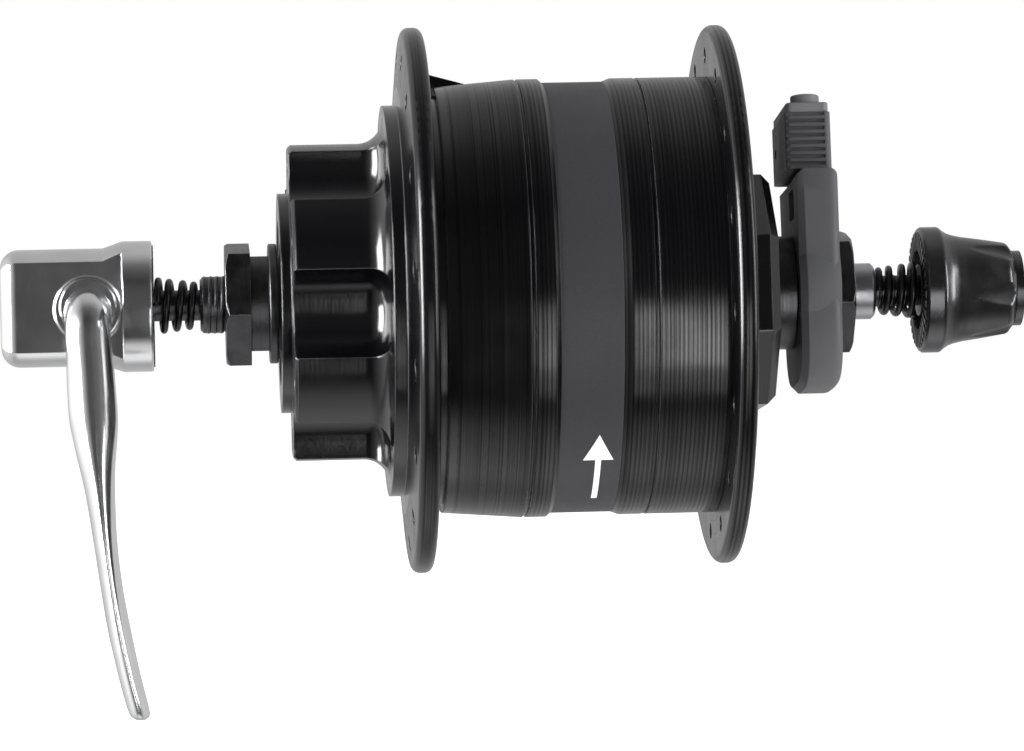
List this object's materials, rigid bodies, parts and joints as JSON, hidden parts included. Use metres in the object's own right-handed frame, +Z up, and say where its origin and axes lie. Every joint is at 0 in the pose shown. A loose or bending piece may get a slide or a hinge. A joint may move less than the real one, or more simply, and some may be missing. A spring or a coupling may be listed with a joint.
{
  "type": "front hub dynamo",
  "caption": "Front wheel hub dynamo with disc rotor mount, spoke flanges, claw-pole generator inside, quick release and pull-off lamp plug.",
  "frame": {"origin": "on the axle's axis, midway between the two dropout faces of the locknuts", "axes": "+Y along the axle towards the brake disc and the quick release lever, +X forward, +Z up"},
  "size_m": [0.087, 0.1633, 0.1087],
  "materials": {
    "gloss_black": "deep gloss black lacquer over aluminium",
    "polished_alloy": "polished aluminium",
    "dark_steel": "dark turned steel",
    "bearing_steel": "ground bearing steel",
    "black_spring": "black finished spring steel",
    "dark_anodised": "dark anodised aluminium",
    "terminal_plastic": "moulded dark grey plastic",
    "cap_plastic": "moulded grey plastic",
    "bobbin_plastic": "natural nylon",
    "copper": "enamelled copper wire",
    "brass_contact": "bright brass",
    "magnet_coat": "nickel plated magnet",
    "soft_iron": "pressed soft iron",
    "black_rubber": "black rubber",
    "lead_sheath": "black insulation"
  },
  "bodies": {
    "axle_unit": {"axle": "dark_steel", "left_cone": "dark_steel", "left_dust_shield": "dark_steel", "left_locknut": "dark_steel", "right_cone": "dark_steel", "right_locknut": "dark_steel", "terminal_body": "terminal_plastic", "terminal_contacts": "brass_contact", "stator_claw_left": "soft_iron", "stator_claw_right": "soft_iron", "stator_core": "soft_iron", "coil_bobbin": "bobbin_plastic", "coil_winding": "copper", "stator_washer": "bearing_steel", "stator_nut": "bearing_steel", "lead_wire": "lead_sheath", "left_spring": "black_spring"},
    "hub": {"hub_shell": "gloss_black", "right_flange_cap": "gloss_black", "side_cover": "gloss_black", "magnet_yoke_ring": "soft_iron", "magnets": "magnet_coat", "left_bearing_cup": "bearing_steel", "right_bearing_cup": "bearing_steel", "left_seal": "black_rubber", "right_seal": "black_rubber"},
    "left_balls": {"left_ball_set": "bearing_steel"},
    "right_balls": {"right_ball_set": "bearing_steel"},
    "housing": {"qr_housing": "polished_alloy", "housing_bite_ring": "dark_steel"},
    "lever": {"qr_lever": "polished_alloy", "lever_nut": "polished_alloy"},
    "skewer": {"skewer_rod": "dark_steel"},
    "nut_side_spring": {"right_spring": "black_spring"},
    "adjuster": {"adjusting_nut": "dark_anodised", "nut_insert": "brass_contact", "nut_bite_ring": "dark_steel"},
    "plug": {"plug_body": "terminal_plastic", "plug_cap": "cap_plastic", "plug_sockets": "brass_contact"}
  },
  "joints": [
    {"name": "hub_spin", "type": "hinge", "parent": "axle_unit", "child": "hub", "pos_m": [0, 0, 0], "axis": [0, 1, 0], "continuous": true},
    {"name": "left_ball_roll", "type": "hinge", "parent": "axle_unit", "child": "left_balls", "pos_m": [0, 0, 0], "axis": [0, 1, 0], "continuous": true},
    {"name": "right_ball_roll", "type": "hinge", "parent": "axle_unit", "child": "right_balls", "pos_m": [0, 0, 0], "axis": [0, 1, 0], "continuous": true},
    {"name": "quick_release_slide", "type": "slide", "parent": "axle_unit", "child": "housing", "axis": [0, 1, 0], "range_m": [-0.002, 0], "deforming": ["left_spring"]},
    {"name": "lever_swing", "type": "hinge", "parent": "housing", "child": "lever", "pos_m": [0, 0.0717, 0], "axis": [1, 0, 0], "range_deg": [0, 180]},
    {"name": "rod_pull", "type": "slide", "parent": "housing", "child": "skewer", "axis": [0, 1, 0], "range_m": [-0.0013, 0]},
    {"name": "nut_travel", "type": "slide", "parent": "skewer", "child": "nut_side_spring", "axis": [0, 1, 0], "range_m": [-0.0016, 0.00213], "deforming": ["right_spring"]},
    {"name": "nut_spin", "type": "hinge", "parent": "nut_side_spring", "child": "adjuster", "pos_m": [0, -0.0613, 0], "axis": [0, 1, 0], "range_deg": [-720, 960]},
    {"name": "plug_pull", "type": "slide", "parent": "axle_unit", "child": "plug", "axis": [0.1219, 0, 0.9925], "range_m": [0, 0.012]}
  ],
  "couplings": [
    {"joint": "left_ball_roll", "follows": "hub_spin", "ratio": 0.5915},
    {"joint": "right_ball_roll", "follows": "hub_spin", "ratio": 0.5915},
    {"joint": "rod_pull", "follows": "lever_swing", "m_per_rad": -0.0004138},
    {"joint": "nut_travel", "follows": "nut_spin", "m_per_rad": 0.00012732}
  ]
}
